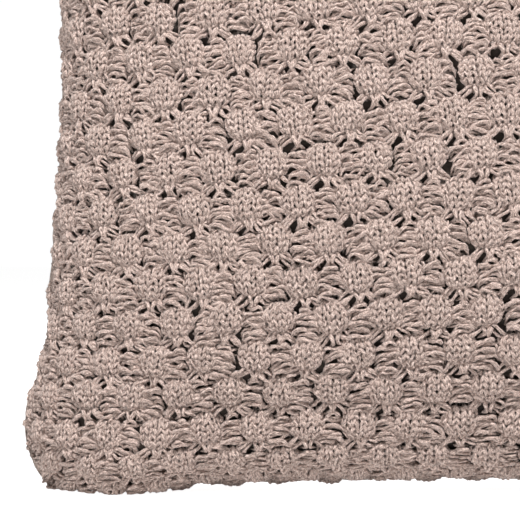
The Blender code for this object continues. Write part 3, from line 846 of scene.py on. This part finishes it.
def rounded(name, built, width, materials, segments=3):
    """A piece from a bmesh with every sharp edge rounded."""
    shared = [edge for edge in built.edges if len(edge.link_faces) == 2]
    sharp = [edge for edge in shared if edge.calc_face_angle() > math.radians(35)]
    bmesh.ops.bevel(
        built, geom=sharp, offset=width, segments=segments, profile=0.6, affect="EDGES", clamp_overlap=True
    )
    mesh = bpy.data.meshes.new(name)
    built.to_mesh(mesh)
    built.free()
    mesh.shade_smooth()
    mesh.set_sharp_from_angle(angle=math.radians(40))
    return linked(name, mesh, materials)


def softened(name, node_name, width, materials):
    """A copy of a hard CAD node with rounded edges, in its place."""
    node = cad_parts[node_name]
    built = bmesh.new()
    built.from_mesh(node.data)
    built.transform(node.matrix_world)
    bmesh.ops.remove_doubles(built, verts=built.verts, dist=2e-6)
    bmesh.ops.dissolve_limit(built, angle_limit=math.radians(2), verts=built.verts, edges=built.edges)
    return rounded(name, built, width, materials)


def stop_piece(name, start_x, low_z, high_z, materials):
    """A metal clip pinched over the tapes' ends: a rounded block with a groove across it."""
    _, middle = zip_levels()
    half = (COIL_OUT - COIL_IN) / 2
    low = np.array([start_x, middle - half, low_z])
    high = np.array([start_x + STOP_LENGTH, middle + half, high_z])
    built = bmesh.new()
    bmesh.ops.create_cube(built, size=1)
    bmesh.ops.subdivide_edges(built, edges=built.edges[:], cuts=2, use_grid_fill=True)
    for vertex in built.verts:
        share = np.array(vertex.co) + 0.5
        pinch = 0.82 if 0.2 < share[0] < 0.8 else 1.0
        share[1] = 0.5 + (share[1] - 0.5) * pinch
        vertex.co = low + share * (high - low)
    return rounded(name, built, STOP_ROUNDING, materials, segments=2)


# ---- materials


def material(name, colour, roughness=0.9, sheen=0.0, metallic=0.0, specular=0.2):
    made = bpy.data.materials.new(name)
    made.use_nodes = True
    inputs = made.node_tree.nodes["Principled BSDF"].inputs
    inputs["Base Color"].default_value = (*colour, 1)
    inputs["Roughness"].default_value = roughness
    inputs["Metallic"].default_value = metallic
    inputs["Sheen Weight"].default_value = sheen
    inputs["Specular IOR Level"].default_value = specular
    return made


def shaded(colour, share):
    return tuple(min(part * share, 1) for part in colour)


def colour_by(tree, factor, stops):
    """Colours the surface by a ramp over (position, colour) stops, driven by a factor."""
    ramp = tree.nodes.new("ShaderNodeValToRGB")
    elements = ramp.color_ramp.elements
    for element, (position, colour) in zip(elements, (stops[0], stops[-1])):
        element.position, element.color = position, (*colour, 1)
    for position, colour in stops[1:-1]:
        elements.new(position).color = (*colour, 1)
    tree.links.new(factor, ramp.inputs["Fac"])
    tree.links.new(ramp.outputs["Color"], tree.nodes["Principled BSDF"].inputs["Base Color"])


def object_places(tree):
    return tree.nodes.new("ShaderNodeTexCoord").outputs["Object"]


def add_noise(tree, vector, stretch, scale, detail=4.0, roughness=0.6):
    mapping = tree.nodes.new("ShaderNodeMapping")
    mapping.inputs["Scale"].default_value = stretch
    noise = tree.nodes.new("ShaderNodeTexNoise")
    for name, value in (("Scale", scale), ("Detail", detail), ("Roughness", roughness)):
        noise.inputs[name].default_value = value
    tree.links.new(vector, mapping.inputs["Vector"])
    tree.links.new(mapping.outputs["Vector"], noise.inputs["Vector"])
    return noise.outputs["Fac"]


def add_bump(tree, height, strength, distance):
    bump = tree.nodes.new("ShaderNodeBump")
    bump.inputs["Strength"].default_value = strength
    bump.inputs["Distance"].default_value = distance
    tree.links.new(height, bump.inputs["Height"])
    tree.links.new(bump.outputs["Normal"], tree.nodes["Principled BSDF"].inputs["Normal"])


def add_math(tree, operation, first, second=None):
    node = tree.nodes.new("ShaderNodeMath")
    node.operation = operation
    for socket, value in zip(node.inputs, (first, second)):
        if isinstance(value, float):
            socket.default_value = value
        elif value is not None:
            tree.links.new(value, socket)
    return node.outputs["Value"]


def add_wave(tree, value, pitch):
    return add_math(tree, "SINE", add_math(tree, "MULTIPLY", value, pitch))


def add_blend(tree, first, share, second):
    """first by its share, and second by the rest of 1."""
    parts = [add_math(tree, "MULTIPLY", *part) for part in ((first, share), (second, 1 - share))]
    return add_math(tree, "ADD", *parts)


def strand_material(name, stops, stretch, scale, bump, sheen=0.25):
    """Spun yarn or thread: fibres that run along the strand, with flecks of other tones, and painted shade
    and highlight where the colour follows the bump's grooves and ridges.
    """
    made = material(name, stops[1][1], 1.0, sheen)
    tree = made.node_tree
    attribute = tree.nodes.new("ShaderNodeAttribute")
    attribute.attribute_name = "yarn"
    flecks = add_noise(tree, attribute.outputs["Vector"], stretch, scale, 4.0, 0.7)
    hairs = add_noise(tree, attribute.outputs["Vector"], stretch, scale * 3.7, 3.0, 0.7)
    # The same mix colours the strand and drives its bump: painted shade in the grooves and painted
    # highlight on the ridges, over the flecks' own tones.
    flecks_with_painted_shade = add_blend(tree, flecks, 0.58, hairs)
    colour_by(tree, flecks_with_painted_shade, stops)
    add_bump(tree, flecks_with_painted_shade, 1.0, bump)
    return made


def cloth_material(name, colour, thread, strength, roughness=0.9, sheen=0.3, herringbone=0.0, specular=0.2):
    """Woven cloth with threads this wide. A herringbone above 0 is the width of its stripes."""
    made = material(name, colour, roughness, sheen, 0.0, specular)
    tree = made.node_tree
    where = object_places(tree)
    parts = tree.nodes.new("ShaderNodeSeparateXYZ")
    tree.links.new(where, parts.inputs["Vector"])
    pitch = math.pi / thread
    if herringbone:
        zigzag = add_math(tree, "PINGPONG", parts.outputs["Z"], herringbone)
        slant = add_math(tree, "ADD", parts.outputs["X"], zigzag)
        height = add_wave(tree, slant, pitch)
    else:
        waves = [add_wave(tree, parts.outputs[axis], pitch) for axis in "XZ"]
        height = add_math(tree, "MULTIPLY", *waves)
    slubs = add_noise(tree, where, (0.22 / thread, 0.22 / thread, 1 / thread), 0.35)
    patches = add_noise(tree, where, (1.0, 1.0, 1.0), 22.0, 2.0)
    tone_and_painted_weave_shade = add_blend(tree, slubs, 0.75, patches)
    # The weave's relief added to the colour is painted shade in its grooves and painted highlight on its
    # raised threads, over the slubs' and patches' own tones.
    tone_and_painted_weave_shade = add_math(tree, "ADD", tone_and_painted_weave_shade, add_math(tree, "MULTIPLY", height, 0.06))
    colour_by(tree, tone_and_painted_weave_shade, [(0.34, shaded(colour, 0.66)), (0.5, colour), (0.68, shaded(colour, 1.28))])
    relief = add_math(tree, "ADD", height, add_math(tree, "MULTIPLY", slubs, 0.8))
    add_bump(tree, relief, strength, thread * 0.5)
    return made


def metal_material(name, colour):
    """Satin nickel with fine brushing and handling marks."""
    made = material(name, colour, 0.3, 0.0, 1.0, 0.5)
    tree = made.node_tree
    where = object_places(tree)
    brushing = add_noise(tree, where, (9000, 900, 900), 1.0, 3.0)
    marks = add_noise(tree, where, (1.0, 1.0, 1.0), 260.0, 3.0)
    colour_by(tree, marks, [(0.35, shaded(colour, 0.86)), (0.5, colour), (0.65, shaded(colour, 1.1))])
    rough = tree.nodes.new("ShaderNodeMapRange")
    rough.inputs["To Min"].default_value, rough.inputs["To Max"].default_value = 0.18, 0.46
    tree.links.new(marks, rough.inputs["Value"])
    tree.links.new(rough.outputs["Result"], tree.nodes["Principled BSDF"].inputs["Roughness"])
    add_bump(tree, brushing, 0.2, 0.00003)
    return made


def fibre_material(name, colour):
    """Loose polyester fibre."""
    made = material(name, colour, 1.0, 0.5)
    tree = made.node_tree
    where = object_places(tree)
    hairs = add_noise(tree, where, (1.0, 1.0, 0.3), 900.0, 6.0, 0.75)
    colour_by(tree, hairs, [(0.3, shaded(colour, 0.7)), (0.5, colour), (0.7, (0.95, 0.95, 0.94))])
    add_bump(tree, hairs, 1.0, 0.0015)
    return made


# ---- build

# The yarn's darkest and lightest stops are partly painted shade between the fibres and painted highlight on
# them, over the heather's own tones.
YARN = strand_material(
    "yarn",
    [(0.42, (0.11, 0.072, 0.057)), (0.5, (0.525, 0.387, 0.334)), (0.59, (0.95, 0.77, 0.69))],
    stretch=(0.45, 1.6, 1.6), scale=1.5, bump=0.0009,
)
THREAD = strand_material(
    "thread",
    [(0.35, (0.25, 0.195, 0.168)), (0.5, (0.36, 0.285, 0.248)), (0.65, (0.50, 0.40, 0.35))],
    stretch=(1.2, 2.0, 2.0), scale=2.0, bump=0.0002, sheen=0.1,
)
NYLON = strand_material(
    "nylon",
    [(0.35, (0.26, 0.205, 0.178)), (0.5, (0.30, 0.238, 0.205)), (0.65, (0.36, 0.29, 0.25))],
    stretch=(0.6, 1.0, 1.0), scale=1.0, bump=0.00005, sheen=0.0,
)
NYLON.node_tree.nodes["Principled BSDF"].inputs["Roughness"].default_value = 0.38
# The lining's near-black brown is partly painted shade: darker than the cloth's own colour, to stand for
# the shade in the knit's holes.
LINING_WITH_PAINTED_SHADE = cloth_material("lining", (0.085, 0.068, 0.058), 0.0005, 0.5, 0.95)
BACK = cloth_material("back_cloth", (0.41, 0.325, 0.285), 0.00055, 0.9)
TAPE = cloth_material("zip_tape", (0.33, 0.262, 0.228), 0.00042, 0.7, herringbone=0.0017)
CASING_CLOTH = cloth_material("casing", (0.80, 0.79, 0.76), 0.0004, 0.5)
LABEL = cloth_material("label", (0.82, 0.81, 0.78), 0.0003, 0.25, 0.45, 0.5, specular=0.5)
METAL = metal_material("nickel", (0.56, 0.54, 0.51))
FIBRE = fibre_material("fibre", (0.86, 0.86, 0.85))


def keep(piece, node, body="pillow"):
    """The piece rides its body and stands for its CAD node."""
    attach(piece, body)
    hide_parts(node)


def keep_soft(piece, node):
    """A soft piece, kept as any other piece is."""
    keep(piece, node)


for piece in knit(skin_table(), [YARN]):
    keep_soft(piece, "cover_front_knit")
keep_soft(lining_piece("front_lining", [LINING_WITH_PAINTED_SHADE]), "cover_front_lining")
for upward, panel, rows in ((1, "upper", 84), (-1, "lower", 40)):
    piece = back_panel(f"back_panel_{panel}", upward, 110, rows, [BACK])
    keep_soft(piece, f"cover_back_{panel}")
for edge in ("left", "right", "bottom", "top"):
    keep(seam_piece(f"overlocked_seam_{edge}", edge, [THREAD]), f"seam_{edge}")

for upward, name in ((1, "upper"), (-1, "lower")):
    tape = tape_piece(f"tape_{name}", upward, [TAPE])
    keep(tape, f"zip_tape_{name}")
    coil = coil_piece(f"coil_{name}", upward, [NYLON])
    keep(coil, f"zip_coil_{name}")
    edges = sorted((ZIP_Z + upward * COIL_IN, ZIP_Z + upward * COIL_OUT))
    stop = stop_piece(f"top_stop_{name}", ZIP_HALF - STOP_LENGTH, *edges, [METAL])
    keep(stop, f"zip_top_stop_{name}")
    row = topstitch_piece(f"topstitch_{name}", upward, [THREAD])
    keep(row, f"zip_topstitch_{name}")
stop = stop_piece("bottom_stop", -ZIP_HALF, ZIP_Z - COIL_OUT, ZIP_Z + COIL_OUT, [METAL])
keep(stop, "zip_bottom_stop")
for name, side in (("left", -1), ("right", 1)):
    tack = bartack_piece(f"bartack_{name}", side, [THREAD])
    keep(tack, f"zip_bartack_{name}")
keep(softened("slider_body", "zip_slider", SLIDER_ROUNDING, [METAL]), "zip_slider", "slider")
keep(softened("pull_tab", "zip_pull", PULL_ROUNDING, [METAL]), "zip_pull", "pull")

keep(label_piece("blank_label", [LABEL]), "care_label")
for name, side in (("front", -1), ("back", 1)):
    casing = casing_piece(f"casing_{name}", side, [CASING_CLOTH])
    keep_soft(casing, f"insert_casing_{name}")
keep_soft(filling_piece("loose_filling", [FIBRE]), "fibre_fill")
keep(closing_piece("closing_stitches", [THREAD]), "insert_closing_seam")

# ---- stage, light, camera

# The floor and the world are white to the camera, and give the pillow only a little light.
FLOOR = material("floor", (0.85, 0.85, 0.85), 1.0)
bpy.ops.mesh.primitive_plane_add(size=60, location=(0, 0, 0))
floor = bpy.context.object
floor.name = "floor"
floor.data.materials.append(FLOOR)
tree = FLOOR.node_tree
shader = tree.nodes["Principled BSDF"]
shader.inputs["Emission Color"].default_value = (1, 1, 1, 1)
seen = tree.nodes.new("ShaderNodeLightPath")
glow = tree.nodes.new("ShaderNodeMapRange")
glow.inputs["To Min"].default_value, glow.inputs["To Max"].default_value = 0.25, 0.93
tree.links.new(seen.outputs["Is Camera Ray"], glow.inputs["Value"])
tree.links.new(glow.outputs["Result"], shader.inputs["Emission Strength"])

world = bpy.data.worlds.new("studio")
bpy.context.scene.world = world
world.use_nodes = True
tree = world.node_tree
seen = tree.nodes.new("ShaderNodeLightPath")
either = tree.nodes.new("ShaderNodeMixShader")
tree.links.new(seen.outputs["Is Camera Ray"], either.inputs["Fac"])
ambient, backdrop = tree.nodes["Background"], tree.nodes.new("ShaderNodeBackground")
for index, background, strength in ((1, ambient, 0.07), (2, backdrop, 1.02)):
    background.inputs["Color"].default_value = (1, 1, 1, 1)
    background.inputs["Strength"].default_value = strength
    tree.links.new(background.outputs["Background"], either.inputs[index])
tree.links.new(either.outputs["Shader"], tree.nodes["World Output"].inputs["Surface"])


def area_light(name, location, target, size, power):
    data = bpy.data.lights.new(name, "AREA")
    data.shape = "SQUARE"
    data.size = size
    data.energy = power
    light = bpy.data.objects.new(name, data)
    bpy.context.scene.collection.objects.link(light)
    light.location = location
    light.rotation_euler = (Vector(target) - Vector(location)).to_track_quat("-Z", "Y").to_euler()
    light.visible_camera = False


LIT = (-0.15, 0, 0.3)
area_light("key", (0.25, -1.3, 1.95), LIT, size=0.36, power=67)
area_light("fill", (-1.5, -1.6, 1.1), LIT, size=0.6, power=15)
area_light("back", (0.9, 1.7, 1.3), (0, 0, 0.22), size=1.0, power=30)

# The camera looks along +Y at the photo's part of the front, which is this wide where it aims.
LENS, SENSOR = 110.0, 36.0
VIEW_WIDTH, VIEW_X, VIEW_Y, VIEW_Z = 0.2886, -0.119, -0.008, 0.128
camera_data = bpy.data.cameras.new("camera")
camera_data.lens = LENS
camera_data.sensor_width = SENSOR
camera_data.clip_end = 50
camera = bpy.data.objects.new("camera", camera_data)
bpy.context.scene.collection.objects.link(camera)
camera.location = (VIEW_X, VIEW_Y - VIEW_WIDTH * LENS / SENSOR, VIEW_Z)
camera.rotation_euler = (math.pi / 2, 0, 0)
bpy.context.scene.camera = camera
bpy.context.scene.view_settings.view_transform = "Standard"
